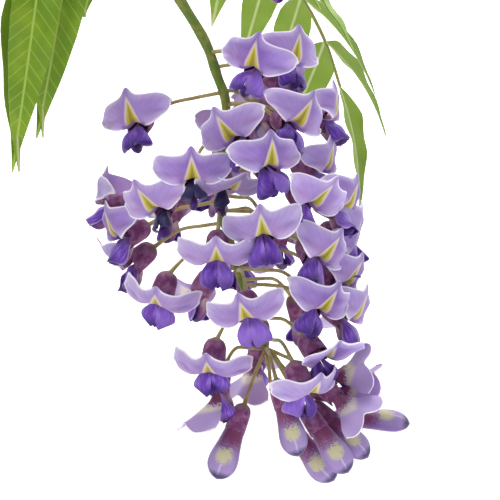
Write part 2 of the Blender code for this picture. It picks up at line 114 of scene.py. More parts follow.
def finishMaterial(made, colour, height=None, depth=0.0, strength=0.5):
    # the colour, and bumps that seem to stand out by a depth in mm
    links, shader = made.node_tree.links, made.node_tree.nodes["Principled BSDF"]
    links.new(colour, shader.inputs["Base Color"])
    if height is not None:
        bump = addNode(made.node_tree, "bump", height, strength=strength, distance=depth * mm)
        links.new(bump, shader.inputs["Normal"])
    return made


def gridPiece(name, across, along, place, tube=False):
    # a primitive grid whose points are moved to place(u, v), u and v from 0 to 1, in millimetres.
    # place gives a point, the UV values and three tints that the material reads
    bpy.ops.object.select_all(action="DESELECT")
    bpy.ops.mesh.primitive_grid_add(x_subdivisions=across, y_subdivisions=along, size=1)
    piece = bpy.context.object
    piece.name = name
    data = piece.data
    tints = data.attributes.new("petal", "FLOAT_COLOR", "POINT")
    marks = []
    for vertex in data.vertices:
        point, mark, tint = place(vertex.co.x + 0.5, vertex.co.y + 0.5)
        vertex.co = Vector(point) * mm
        marks.append(mark)
        tints.data[vertex.index].color = (*tint, 1.0)
    layer = data.uv_layers[0].data
    for loop in data.loops:
        layer[loop.index].uv = marks[loop.vertex_index]
    if tube:
        shaper = bmesh.new()
        shaper.from_mesh(data)
        bmesh.ops.remove_doubles(shaper, verts=shaper.verts, dist=2e-6)
        bmesh.ops.recalc_face_normals(shaper, faces=shaper.faces)
        shaper.to_mesh(data)
        shaper.free()
    return piece


def joinPieces(pieces, name, materials):
    bpy.ops.object.select_all(action="DESELECT")
    for piece in pieces:
        piece.select_set(True)
    whole = pieces[0]
    bpy.context.view_layer.objects.active = whole
    if len(pieces) > 1:
        bpy.ops.object.join()
    whole.name = name
    for made in materials:
        whole.data.materials.append(made)
    return whole


def applyModifier(piece, kind, settings):
    bpy.context.view_layer.objects.active = piece
    made = piece.modifiers.new(kind.title(), kind)
    for key, value in settings.items():
        setattr(made, key, value)
    bpy.ops.object.modifier_apply(modifier=made.name)


def settle(piece, slot, smooth=50):
    bpy.ops.object.select_all(action="DESELECT")
    piece.select_set(True)
    bpy.context.view_layer.objects.active = piece
    bpy.ops.object.shade_smooth_by_angle(angle=math.radians(smooth))
    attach(piece, body)
    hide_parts(slot)


def between(table, at):
    # reads a value from (place, value) pairs, straight between one pair and the next
    if at <= table[0][0]:
        return table[0][1]
    for (low, first), (high, second) in zip(table, table[1:]):
        if at <= high:
            return first + (second - first) * (at - low) / (high - low)
    return table[-1][1]


def smoothLine(points, pieces):
    ends = [points[0], *points, points[-1]]
    line = []
    for a, b, c, d in zip(ends, ends[1:], ends[2:], ends[3:]):
        for step in range(pieces):
            t = step / pieces
            line.append(0.5 * (2 * b + (c - a) * t + (2 * a - 5 * b + 4 * c - d) * t * t
                               + (3 * b - a - 3 * c + d) * t ** 3))
    line.append(points[-1])
    return line


def framesAlong(line):
    # a point, two directions across it, for each step of a line, carried without twist
    found, side = [], None
    for i, point in enumerate(line):
        ahead = (line[min(i + 1, len(line) - 1)] - line[max(i - 1, 0)]).normalized()
        if side is None:
            side = ahead.orthogonal().normalized()
        side = (side - ahead * side.dot(ahead)).normalized()
        found.append((point, side, ahead.cross(side)))
    return found


def tubePiece(name, line, radius, around):
    # a closed round tube along a line; radius(share, turn) in millimetres
    steps = framesAlong(line)
    last = len(steps) - 1

    def place(u, v):
        spot = round(v * (last + 2))
        point, side, other = steps[min(max(spot - 1, 0), last)]
        share = min(max((spot - 1) / last, 0), 1)
        turn = u * 2 * math.pi
        size = 0 if spot in (0, last + 2) else radius(share, turn)
        return point + (side * math.cos(turn) + other * math.sin(turn)) * size, (u, share), (share, 0, 0)

    return gridPiece(name, around, last + 2, place, tube=True)


# where everything grows, as in the CAD

cluster = {
    "middle": Vector((165.0, 0.0, 330.0)),
    "stalk": [(-42, 107.5), (-36.5, 100), (-29, 91), (-22.4, 80), (-14.4, 66.6), (-10.6, 56), (-7.7, 46.4),
              (-8.2, 28.8), (-9, 12.5), (-6.4, 3.2), (-4.2, -5.8), (0, -17.6), (4.2, -28), (5.2, -32)],
    "stalkTop": 1.9, "stalkTip": 1.0,  # its radius
    "calyxLength": 12.5,
    # across, up, towards the front, turned to the right, nodding, leaning, openness
    "front": [
        (8, 85, 6, 40, 0, 0, 0.8), (-16, 101, 14, -20, 10, -10, 1.0),
        (0, 54, 25, -26, 22, 18, 1.0), (13.5, 57, 14, 36, 15, 8, 1.0), (-36.5, 37.5, 8, -18, 22, -10, 1.0),
        (-4, 32, 30, -18, 32, -28, 1.0), (13.5, 37, 24, 30, 22, 28, 1.0), (27, 40, 4, 78, 10, 0, 1.0),
        (6.3, 23, 37, 30, 26, -8, 1.0), (-17.5, 19, 32, 0, 40, -2, 1.0), (-8, 17, 22, 30, 62, 0, 0.8),
        (-28.2, 10.4, 25, -28, 42, -20, 0.95), (-48, 13.5, -12, -105, 5, 0, 1.0),
        (-42, 2, 5, -65, 28, -5, 1.0),
        (-40, -7, -8, -85, 40, 0, 0.8), (4.4, 1.9, 37, 3, 44, -8, 1.0), (18, 12, 29, 35, 38, 20, 0.8),
        (30, 11, 12, 62, 22, 20, 1.0), (24, 23, 8, 70, 20, 0, 1.0), (-10, -5.4, 34, -2, 66, 0, 1.12),
        (20.7, -5, 28, 30, 38, 26, 1.0), (31, -4, 6, 80, 25, 10, 1.0), (0, -23.3, 34, 8, 56, -22, 1.05),
        (20.4, -21, 28, 25, 45, 20, 1.0), (32, -24, 12, 62, 32, 10, 1.0), (-29, -18.5, 14, -60, 70, 52, 1.12),
        (-12, -39.5, 22, -30, 76, 20, 1.15), (22.5, -35.5, 24, 40, 42, -15, 0.6),
        (17, -46, 27, 60, 68, -28, 1.1),
        (30, -40, 6, 82, -6, -72, 0.36), (31, -46, 4, 85, 4, -48, 0.33), (29.5, -48.5, 15, 80, 40, -74, 0.38),
        (38.5, -55, -4, 85, 3, -40, 0.0), (28, -57, 7, 80, 42, -60, 0.2), (23.6, -59.3, 14, 80, 55, -72, 0.0),
        (18.5, -63.5, 4, 80, 50, -90, 0.0), (11.5, -52, 20, 75, 73, -70, 0.15),
        (-10, -48.5, 14, -50, 78, 0, 0.35),
        (-6, -60, 13, -70, 68, 64, 0.1), (1.5, -40, -10, -60, 80, 40, 0.35), (33, 2, 2, 78, 22, 10, 1.0),
        (29, -13, 12, 55, 38, 15, 1.0),
    ],
    "withered": (9, 10, 11),  # florets whose wings have shrunk and gone dark blue
    # the florets behind, which follow a rule down the stalk
    "backCount": 11, "backTop": 52.0, "backStep": 8.6, "backTurn": 40.0, "backLevel": 30.0,
    "backMiddle": (145.0, 185.0), "backReach": 27.0, "seed": 7,
}


def stalkPoint(up):
    pairs = sorted((z, x) for x, z in cluster["stalk"])
    return cluster["middle"] + Vector((between(pairs, up), 0, up))


def allFlorets():
    found = []
    for across, up, towards, turn, nod, lean, opened in cluster["front"]:
        found.append((cluster["middle"] + Vector((across, -towards, up)), turn, nod, lean, opened))
    chance = random.Random(cluster["seed"])
    count = cluster["backCount"]
    for k in range(count):
        up = cluster["backTop"] - cluster["backStep"] * k
        turn = (cluster["backMiddle"][up < cluster["backLevel"]] + cluster["backTurn"] * ((k % 3) - 1)
                + chance.uniform(-9, 9))
        ripe = 1.0 - 0.9 * max(0, k - count * 0.6) / (count * 0.4)
        reach = cluster["backReach"] + chance.uniform(-3, 3)
        away = Vector((math.sin(math.radians(turn)), -math.cos(math.radians(turn)), 0))
        nod = 18 + 50 * k / count + chance.uniform(-5, 5)
        found.append((stalkPoint(up) + away * reach, turn, nod, chance.uniform(-12, 12), ripe))
    return found


def floretMatrix(throat, turn, nod, lean):
    spin = Matrix.Rotation(math.radians(turn) + math.pi, 4, "Z")
    tipDown = Matrix.Rotation(-math.radians(nod), 4, "X")
    roll = Matrix.Rotation(-math.radians(lean), 4, "Y")
    return Matrix.Translation(throat) @ spin @ tipDown @ roll


# florets: each maker works in the floret's own frame, x across, y out of the throat, z to the banner

banner = {
    # outline by distance from the midline: where the blade starts and ends, measured along it from the claw
    "lower": [(0, 0), (1.6, 0.2), (2.6, 2.4), (4, 4.2), (7, 4.7), (10, 5.4), (11.6, 6.4), (12.5, 7.7),
              (12.9, 9.0)],
    "upper": [(0, 16.4), (0.5, 15.5), (1.4, 14.1), (3, 13.0), (6, 12.8), (9, 12.7), (11.2, 12.1),
              (12.4, 10.9), (12.9, 9.4)],
    # the same for one that is only half open: spoon shaped, widest near its end
    "youngLower": [(0, 0), (2.6, 1.6), (5, 4.4), (8, 6.6), (11, 8.8), (12.4, 10.6), (12.9, 12.2)],
    "youngUpper": [(0, 15.4), (1, 15.9), (5, 16.6), (8, 16.4), (11, 15.2), (12.4, 13.8), (12.9, 12.4)],
    "half": 12.9, "length": 17, "thick": 0.32,
    "clawStart": -5.5, "clawHeight": 2.6,
    "rise": (18, 78),   # degrees that the shut banner bends up by, and that opening adds
    "fold": (50, 66),   # degrees that its lobes are swept forward in the claw, and that they open by
    "cheek": 1.7,       # how far each lobe bulges towards the viewer
    "turnBack": 1.6,    # how far the top margin turns back
    "ripple": 0.25,
}


def makeBanner(matrix, opened, chance, tone):
    stretch = 1.0 + 0.2 * (1 - opened)
    narrow = 0.42 + 0.58 * min(opened * 1.4, 1)
    rise = math.radians(banner["rise"][0] + banner["rise"][1] * opened)
    curl = chance.uniform(0.6, 1.4)  # how far each lobe's end rolls back
    wave = chance.uniform(0, 6.3)
    skew = chance.uniform(-0.1, 0.1)
    steps = 40
    young = min(max((0.75 - opened) / 0.25, 0), 1)
    point = Vector((0, banner["clawStart"], banner["clawHeight"]))
    midline = [(point.copy(), Vector((0, 1, 0)), Vector((0, 0, -1)))]
    for k in range(1, steps + 1):
        place = (k - 0.5) / steps * banner["length"] * stretch
        share = min(max((place - 2) / 5, 0), 1)
        angle = rise * share * share * (3 - 2 * share)
        upward = Vector((0, math.cos(angle), math.sin(angle)))
        point = point + upward * banner["length"] * stretch / steps
        midline.append((point.copy(), upward, Vector((0, math.sin(angle), -math.cos(angle)))))

    def place(u, v):
        c = 1 - u * 2  # from 1 to -1, so that the grid faces the viewer
        away = abs(c) ** 0.9 * banner["half"]
        low = between(banner["youngLower"], away) * young + between(banner["lower"], away) * (1 - young)
        high = between(banner["youngUpper"], away) * young + between(banner["upper"], away) * (1 - young)
        along = low + (high - low) * v
        step = along / banner["length"] * steps
        spot, upward, front = midline[min(int(step), steps)]
        nextSpot = midline[min(int(step) + 1, steps)][0]
        spot = spot.lerp(nextSpot, step % 1)
        opening = min(max((along - 2) / 5, 0), 1)
        fold = math.radians(banner["fold"][0] - banner["fold"][1] * min(opened, 1) * opening)
        half = away * narrow
        hand = 1 if c > 0 else -1
        lift = math.sin(fold) * half
        cheek = banner["cheek"] * opened * opening * math.sin(min(half / 9, 1) * math.pi)
        turnBack = -banner["turnBack"] * opened * max(0, v - 0.72) ** 2 * 12.8
        roll = -curl * opened * max(0, half / banner["half"] - 0.62) ** 2 * 14 * (0.4 + v)
        ripple = banner["ripple"] * opened * math.sin(half * 0.9 + wave + hand) * v
        side = Vector((math.cos(fold) * half * hand, 0, 0))
        droop = 0.06 + skew * hand + half * (0.011 + 0.07 * max(0, opened - 1))
        sag = upward * half * opened * opening * droop
        where = spot + side + front * (lift + cheek + roll + ripple + turnBack) - sag
        edge = max(abs(c), v if away > 1.5 else v * 0.9, 1 - v if along > 4 else 0)
        return matrix @ where, (0.5 + half * hand / 30, along / 20), (edge, tone[0], tone[1])

    return gridPiece("banner", 20, 12, place)


wing = {
    # along the wing: how far it spreads from the middle, and how deep it hangs
    "spread": [(0, 1.2), (0.25, 2.6), (0.45, 4.9), (0.62, 5.8), (0.8, 5.5), (0.92, 4.3), (1, 2.4)],
    "depth": [(0, 1.6), (0.25, 3.0), (0.5, 5.2), (0.75, 5.4), (0.92, 4.0), (1, 1.9)],
    "start": -5.0, "length": 11.6, "thick": 0.35,
    "hang": 3.4,           # how far its end droops
    "cut": 4.6,            # how far its end is cut back to either side of its point
    "loose": (10, 8, 8),   # degrees that it may lie off its place, so that no two wings lie alike
    "crimp": 0.75, "witheredCrimp": 0.9, "witheredSize": 0.66,
}


def makeWing(matrix, hand, opened, chance, tone):
    withered = tone[1] > 0.5
    grow = (0.62 + 0.38 * min(opened, 1)) * chance.uniform(0.92, 1.06)
    if withered:
        grow *= wing["witheredSize"]
    gape = chance.uniform(-0.6, 0.15)
    crimp = wing["witheredCrimp"] if withered else wing["crimp"]
    longer = chance.uniform(0.84, 1.05)
    peak = chance.uniform(0.3, 0.62)
    phase = chance.uniform(0, 6)
    shade = chance.uniform(0, 1)
    loose = Matrix.Identity(4)
    for axis, most in zip("YZX", wing["loose"]):
        loose = loose @ Matrix.Rotation(math.radians(chance.uniform(-most, most)), 4, axis)

    def place(u, v):
        q = u if hand > 0 else 1 - u  # 0 at the top, where the two wings meet, 1 at the lower margin
        bend = q * 1.95
        spread, depth = between(wing["spread"], v), between(wing["depth"], v)
        x = 0.15 + gape * v * v + spread * math.sin(bend)
        z = 0.8 - 0.2 * v - wing["hang"] * v ** 3 - depth * 0.73 * (1 - math.cos(bend))
        y = wing["start"] + wing["length"] * v * longer - wing["cut"] * v ** 3 * abs(q - peak) ** 1.05
        x += crimp * 0.5 * math.sin(6.5 * v + phase + 5 * q) * q
        z += crimp * 0.55 * math.sin(7.5 * v + phase + 4.5 * q) * min(v * 2.5, 1)
        where = loose @ Vector((x * hand * grow, y * grow, z * grow))
        edge = max(abs(2 * q - 1), v)
        return matrix @ where, (1 - q, v), (edge, shade, tone[1])

    return gridPiece("wing", 10, 10, place)


keel = {
    "start": -5, "length": 10.6,
    "size": [(0, 0), (0.01, 0.7), (0.3, 1.5), (0.65, 1.9), (0.9, 1.2), (1, 0)],
}


def makeKeel(matrix, tone):
    def place(u, v):
        turn = u * 2 * math.pi
        size = between(keel["size"], v)
        y = keel["start"] + keel["length"] * v
        middle = -2.0 - 2.8 * math.sin(v * 2.4) + 0.6 * v * v
        x = math.cos(turn) * size * 0.75
        z = middle + math.sin(turn) * size * 1.25
        return matrix @ Vector((x, y, z)), (u, v), (v, tone[0], tone[1])

    return gridPiece("keel", 12, 10, place, tube=True)


calyx = {
    "bell": [(0, 0.75), (0.05, 1.9), (0.14, 2.9), (0.32, 3.55), (0.65, 3.8), (1, 3.85)],
    # degrees round the mouth, how long
    "teeth": [(90, 0.7), (52, 0.6), (128, 0.6), (-25, 1.3), (205, 1.3), (-90, 3.2)],
    "tube": 8.8, "thick": 0.35,
}


def makeCalyx(matrix, opened, chance, tone):
    snug = 0.84 if opened < 0.6 else 1.0
    longer = chance.uniform(0.85, 1.15)
    flare = chance.uniform(-0.3, 0.2)

    def place(u, v):
        turn = u * 2 * math.pi
        size = between(calyx["bell"], v) * snug
        tooth = 0
        for middle, length in calyx["teeth"]:
            apart = abs((math.degrees(turn) - middle + 180) % 360 - 180)
            tooth = max(tooth, length * max(0, 1 - apart / 27) ** 1.3)
        rim = max(0, (v - 0.72) / 0.28)
        y = -cluster["calyxLength"] + calyx["tube"] * v + tooth * rim * longer
        size += rim * flare + tooth * rim * 0.05
        z = 0.4 + size * math.sin(turn) * (1.04 if math.sin(turn) > 0 else 0.95)
        return matrix @ Vector((size * math.cos(turn), y, z)), (u, v), (v, tone[0], tone[1])

    return gridPiece("calyx", 30, 9, place, tube=True)


bud = {
    # along the bud: its width, depth and how high its middle lies
    "width": [(0, 0.6), (0.04, 2.4), (0.25, 3.1), (0.45, 3.7), (0.6, 4.4), (0.72, 4.7), (0.83, 4.3),
              (0.92, 3.0), (0.97, 1.7), (1, 0)],
    "depth": [(0, 0.6), (0.04, 2.4), (0.3, 3.0), (0.6, 3.3), (0.8, 2.7), (0.92, 1.7), (0.97, 0.9), (1, 0)],
    "rise": [(0, 0.4), (0.3, 0.5), (0.6, 0.8), (0.85, 0.5), (1, -0.2)],
    "start": -8, "length": 21.2,
}


def makeBud(matrix, chance, tone):
    fat = chance.uniform(0.88, 1.08)

    def place(u, v):
        turn = u * 2 * math.pi - math.pi / 2  # the seam, where the margins meet, is underneath
        shut = min(abs(u), abs(1 - u))
        seam = 1 - 0.22 * math.exp(-(shut / 0.045) ** 2)
        y = bud["start"] + bud["length"] * v
        x = math.cos(turn) * between(bud["width"], v) * fat * seam
        z = between(bud["rise"], v) + math.sin(turn) * between(bud["depth"], v) * fat * seam
        return matrix @ Vector((x, y, z)), (u, v), (v, tone[0], tone[1])

    return gridPiece("bud", 18, 16, place, tube=True)


pedicel = {"radius": [(0, 1.0), (0.08, 0.66), (0.8, 0.58), (1, 0.85)], "sides": 7}


def makePedicel(matrix, chance):
    socket = matrix @ Vector((0, -cluster["calyxLength"] + 1.2, 0.4))
    behind = matrix @ Vector((0, -cluster["calyxLength"] - 4.0, 1.2))
    reach = (socket - cluster["middle"]).xy.length
    low, high = cluster["stalk"][-1][1] + 0.5, cluster["stalk"][0][1] - 9
    up = min(max(socket.z - cluster["middle"].z + 1.0 + 0.22 * reach, low), high)
    root = stalkPoint(up)
    middle = root * 0.45 + behind * 0.55 + Vector((0, 0, 1.2))
    middle = middle * 0.6 + behind * 0.4
    bow = root.lerp(middle, 0.5) + Vector((0, 0, chance.uniform(0, 0.8)))
    line = smoothLine([root, bow, middle, socket], 5)

    def radius(share, turn):
        return between(pedicel["radius"], share)

    return tubePiece("pedicel", line, radius, pedicel["sides"])


# lavender petal: thin and soft, it lets light through, and its pale rim catches it
petalLook = {
    "lobe": "#9a80c6", "lobeDeep": "#7452a2", "lobePale": "#cfc1e8", "rim": "#f3ecfb", "pink": "#a97fb0",
    "yellow": "#bfb42a", "olive": "#8a7d2e", "cream": "#dcd3bb", "back": "#b3a0d0", "backMauve": "#84456c",
}


def bannerMaterial():
    made, add = startMaterial("lavenderPetal", {
        "Roughness": 0.55, "Subsurface Weight": 0.25, "Subsurface Radius": (0.8, 0.55, 1.0),
        "Subsurface Scale": 0.0015, "Sheen Weight": 0.15, "Sheen Roughness": 0.5, "IOR": 1.4})
    uv = add("uv")
    across, along, _ = add("split", uv)
    x = add("times", add("absolute", add("minus", across, 0.5)), 30.0)  # millimetres from the midline
    y = add("times", along, 20.0)  # millimetres along the petal
    margin, shade, _ = add("splitColour", add("tint"))
    cloud = add("noise", uv, scale=30 / 6, detail=3.0)  # clouds 6 mm across
    # lobes: deeper by the throat, paler outwards, partly their own colour and partly painted shading, one
    # floret a little different from the next
    outward = add("plus", add("over", x, 15.0), add("times", cloud, 0.5))
    colour = add("mix", add("step", outward, 0.3, 0.95), petalLook["lobeDeep"], petalLook["lobe"])
    colour = add("mix", add("step", outward, 0.8, 1.35), colour, petalLook["lobePale"])
    colour = add("mix", add("times", shade, 0.3), colour, petalLook["lobePale"])
    # mauve patches low on the lobes, a paler margin where light comes through
    blush = add("noise", uv, noise_dimensions="4D", w=add("times", shade, 30.0), scale=30 / 10, detail=2.0)
    low = add("times", add("step", y, 11.5, 6.0), add("step", blush, 0.35, 0.65))
    colour = add("mix", add("times", low, 0.45), colour, petalLook["pink"])
    colour = add("mix", add("times", add("step", margin, 0.7, 1.0), 0.5), colour, petalLook["lobePale"])
    # veins fan out from the claw, about 1 mm apart at the lobe's middle
    fan = add("angle", x, add("minus", y, 3.0))
    wobble = add("times", cloud, 1.2)
    vein = add("sine", add("timesPlus", fan, 34.0, wobble))
    veinShare = add("times", add("step", vein, 0.4, 1.0), 0.12)
    colour = add("mix", veinShare, colour, "#8660b8")
    # the blotch: yellow sides round an olive core, with a thin cream border
    edge = add("timesPlus", y, -0.32, 3.85)
    inside = add("minus", edge, x)
    above = add("step", y, 3.6, 4.6)
    cream = add("times", add("step", inside, -0.85, -0.05), above)
    colour = add("mix", add("times", cream, 0.75), colour, petalLook["cream"])
    core = add("times", add("step", inside, 0.05, 0.45), above)
    colour = add("mix", core, colour, petalLook["yellow"])
    middle = add("step", add("minus", x, add("timesPlus", y, -0.2, 1.9)), 0.35, -0.2)
    colour = add("mix", add("times", core, add("times", middle, 0.85)), colour, petalLook["olive"])
    # shade gathers in the crease along the middle and by the claw
    crease = add("times", add("step", x, 1.0, 0.0), add("step", y, 11.5, 13.0))
    colour = add("mix", add("times", crease, 0.35), colour, petalLook["lobeDeep"])
    # painted highlight: the outermost sliver of the margin turns near white where light catches it
    colour = add("mix", add("times", add("step", margin, 0.94, 0.99), 0.9), colour, petalLook["rim"])
    return finishMaterial(made, colour, vein, 0.08, 0.35)


def bannerBackMaterial():
    # the petal's back: duller and greyer, mauve by the calyx with a cream patch above it
    made, add = startMaterial("lavenderPetalBack", {
        "Roughness": 0.6, "Subsurface Weight": 0.25, "Subsurface Radius": (0.8, 0.55, 1.0),
        "Subsurface Scale": 0.0015, "Sheen Weight": 0.2, "IOR": 1.4})
    uv = add("uv")
    across, along, _ = add("split", uv)
    x = add("times", add("absolute", add("minus", across, 0.5)), 30.0)
    y = add("times", along, 20.0)
    cloud = add("noise", uv, scale=30 / 5, detail=3.0)
    specks = add("noise", add("place"), scale=perMetre(0.714), detail=2.0)
    near = add("plus", y, add("timesPlus", x, 0.5, add("times", specks, 4.0)))
    colour = add("mix", add("step", near, 7.0, 10.5), petalLook["backMauve"], petalLook["back"])
    reach = add("plus", y, add("times", x, 1.3))
    patch = add("times", add("step", near, 7.5, 9.5), add("step", reach, 12.5, 9.5))
    colour = add("mix", add("times", patch, 0.85), colour, "#dedac4")
    outward = add("timesPlus", cloud, 4.0, x)
    colour = add("mix", add("step", outward, 7.0, 13.5), colour, petalLook["lobePale"])
    return finishMaterial(made, colour, cloud, 0.1, 0.3)


def rimMaterial():
    # the petal's cut edge, almost white where light comes through it
    made, add = startMaterial("petalRim", {
        "Roughness": 0.45, "Subsurface Weight": 0.3, "Subsurface Scale": 0.001, "IOR": 1.4})
    cloud = add("noise", add("place"), scale=perMetre(1.11))
    return finishMaterial(made, add("mix", cloud, "#e6dcf5", "#fbf8ff"))


wingLook = {"violet": "#6a36b5", "light": "#a57fe2", "deep": "#431a80", "navy": "#272055", "base": "#b487bd"}


def wingMaterial():
    # violet petal: darker and glossier than the banner, streaked along its length
    made, add = startMaterial("violetPetal", {
        "Roughness": 0.42, "Subsurface Weight": 0.15, "Subsurface Radius": (0.5, 0.3, 1.0),
        "Subsurface Scale": 0.0012, "Sheen Weight": 0.15, "IOR": 1.42})
    uv = add("uv")
    across, along, _ = add("split", uv)
    _, shade, withered = add("splitColour", add("tint"))
    stretched = add("mapping", uv, scale=(4.0, 1.2, 1.0))  # streaks about 1 mm wide
    streaks = add("noise", stretched, scale=2.2, detail=4.0)
    colour = add("mix", add("step", along, 0.1, 0.4), wingLook["base"], wingLook["violet"])
    colour = add("mix", add("times", add("step", streaks, 0.42, 0.66), 0.7), colour, wingLook["light"])
    dusk = add("plus", along, add("times", streaks, 0.25))
    colour = add("mix", add("step", dusk, 0.78, 1.08), colour, wingLook["deep"])
    lower = add("step", across, 0.16, 0.02)
    colour = add("mix", add("times", lower, 0.6), colour, "#cdbdf2")
    colour = add("mix", add("times", add("step", shade, 0.35, 1.0), 0.45), colour, wingLook["light"])
    colour = add("mix", add("times", add("step", shade, 0.4, 0.0), 0.45), colour, wingLook["deep"])
    colour = add("mix", withered, colour, wingLook["navy"])
    return finishMaterial(made, colour, streaks, 0.25, 0.5)


def keelMaterial():
    # keel petal: smooth and waxy, pinkish by the calyx, almost black violet at its tip
    made, add = startMaterial("keelPetal", {
        "Roughness": 0.4, "Subsurface Weight": 0.1, "Subsurface Scale": 0.001, "IOR": 1.42})
    uv = add("uv")
    _, along, _ = add("split", uv)
    cloud = add("noise", uv, scale=4.0, detail=3.0)
    along = add("plus", along, add("timesPlus", cloud, 0.3, -0.15))
    colour = add("mix", add("step", along, 0.15, 0.5), "#c9a9b4", "#8d5a8f")
    colour = add("mix", add("step", along, 0.45, 0.8), colour, "#40196f")
    return finishMaterial(made, colour, cloud, 0.15, 0.4)


def calyxMaterial():
    # downy maroon calyx: short hairs scatter the light into a soft bloom at its sides
    made, add = startMaterial("downyCalyx", {
        "Roughness": 0.75, "Sheen Weight": 0.45, "Sheen Roughness": 0.4, "Sheen Tint": hexColour("#cfb0d0"),
        "IOR": 1.4})
    _, along, _ = add("split", add("uv"))
    place = add("place")
    blotch = add("noise", place, scale=perMetre(2.38), detail=3.0)
    down = add("noise", place, scale=perMetre(0.385), detail=2.0)
    colour = add("mix", add("step", blotch, 0.35, 0.7), "#733668", "#9a6792")
    green = add("times", add("step", along, 0.3, 0.0), 0.7)
    colour = add("mix", green, colour, "#8a8450")
    return finishMaterial(made, colour, down, 0.12, 0.5)


def budMaterial():
    # shut banner: maroon where the calyx holds it, grey lavender, a cream patch and a dark tip
    made, add = startMaterial("budPetal", {
        "Roughness": 0.5, "Subsurface Weight": 0.15, "Subsurface Scale": 0.0012, "Sheen Weight": 0.2,
        "IOR": 1.42})
    uv = add("uv")
    across, along, _ = add("split", uv)
    cloud = add("noise", uv, scale=5.0, detail=4.0)
    along = add("plus", along, add("timesPlus", cloud, 0.22, -0.11))
    specks = add("noise", add("place"), scale=perMetre(0.417), detail=1.0)
    flush = add("plus", along, add("timesPlus", specks, 0.3, -0.15))  # the maroon breaks up into specks
    colour = add("mix", add("step", flush, 0.34, 0.62), "#77345f", "#9c86bd")
    off = add("absolute", add("minus", across, 0.5))
    apart = add("power", add("over", add("minus", flush, 0.61), 0.11), 2.0)
    patch = add("step", add("plus", add("power", add("over", off, 0.11), 2.0), apart), 1.3, 0.35)
    colour = add("mix", add("times", patch, 0.8), colour, "#c9c68c")
    colour = add("mix", add("times", add("step", off, 0.12, 0.25), 0.7), colour, "#654092")
    midline = add("times", add("step", off, 0.02, 0.0), add("step", along, 0.6, 0.8))
    colour = add("mix", add("times", midline, 0.5), colour, "#ded5ec")
    colour = add("mix", add("step", along, 0.86, 0.97), colour, "#33245f")
    return finishMaterial(made, colour, cloud, 0.2, 0.4)


def stalkMaterial(name, young, old):
    # soft green stem: a fine grain, brown flecks, and a faint bloom from its down
    made, add = startMaterial(name, {
        "Roughness": 0.6, "Subsurface Weight": 0.1, "Subsurface Scale": 0.001, "Sheen Weight": 0.2})
    place = add("place")
    flecks = add("noise", place, scale=perMetre(3.85), detail=4.0)
    fine = add("noise", place, scale=perMetre(0.667), detail=2.0)
    colour = add("mix", add("step", flecks, 0.42, 0.68), young, old)
    return finishMaterial(made, colour, fine, 0.2, 0.5)


def buildCluster():
    banners, wings, keels, calyxes, buds, pedicels = [], [], [], [], [], []
    for number, (throat, turn, nod, lean, opened) in enumerate(allFlorets()):
        chance = random.Random(100 + number)
        matrix = floretMatrix(throat, turn, nod, lean)
        tone = (chance.uniform(0, 1), 1.0 if number in cluster["withered"] else 0.0)  # shade, withered
        calyxes.append(makeCalyx(matrix, opened, chance, tone))
        pedicels.append(makePedicel(matrix, chance))
        if opened < 0.3:
            buds.append(makeBud(matrix, chance, tone))
            continue
        banners.append(makeBanner(matrix, opened, chance, tone))
        wings.extend(makeWing(matrix, hand, opened, chance, tone) for hand in (-1, 1))
        keels.append(makeKeel(matrix, tone))
    rim = rimMaterial()
    whole = joinPieces(banners, "banner_petals", [bannerMaterial(), bannerBackMaterial(), rim])
    applyModifier(whole, "SUBSURF", {"levels": 1, "render_levels": 1})
    applyModifier(whole, "SOLIDIFY", {"thickness": banner["thick"] * mm, "offset": -1, "material_offset": 1,
                                      "material_offset_rim": 2})
    settle(whole, "flower_cluster")
    whole = joinPieces(wings, "wing_petals", [wingMaterial()])
    applyModifier(whole, "SUBSURF", {"levels": 1, "render_levels": 1})
    applyModifier(whole, "SOLIDIFY", {"thickness": wing["thick"] * mm, "offset": -1})
    settle(whole, "flower_cluster")
    settle(joinPieces(keels, "keel_petals", [keelMaterial()]), "flower_cluster")
    whole = joinPieces(calyxes, "calyxes", [calyxMaterial()])
    applyModifier(whole, "SOLIDIFY", {"thickness": calyx["thick"] * mm, "offset": -1})
    settle(whole, "flower_cluster")
    whole = joinPieces(buds, "shut_buds", [budMaterial()])
    applyModifier(whole, "SUBSURF", {"levels": 1, "render_levels": 1})
    settle(whole, "flower_cluster")
    whole = joinPieces(pedicels, "pedicels", [stalkMaterial("pedicelGreen", "#aca066", "#94794c")])
    settle(whole, "flower_cluster")
    line = smoothLine([cluster["middle"] + Vector((x, 0, z)) for x, z in cluster["stalk"]], 6)

    def radius(share, turn):
        size = cluster["stalkTop"] + (cluster["stalkTip"] - cluster["stalkTop"]) * share
        return size * (1 + 0.05 * math.sin(5 * turn) + 0.06 * math.sin(share * 90))

    whole = joinPieces([tubePiece("stalk", line, radius, 16)], "cluster_stalk",
                       [stalkMaterial("stalkGreen", "#5d7a1e", "#8c8a3a")])
    settle(whole, "flower_cluster")
    print("cluster done:", len(banners), "open florets,", len(buds), "buds")


buildCluster()


# leaves

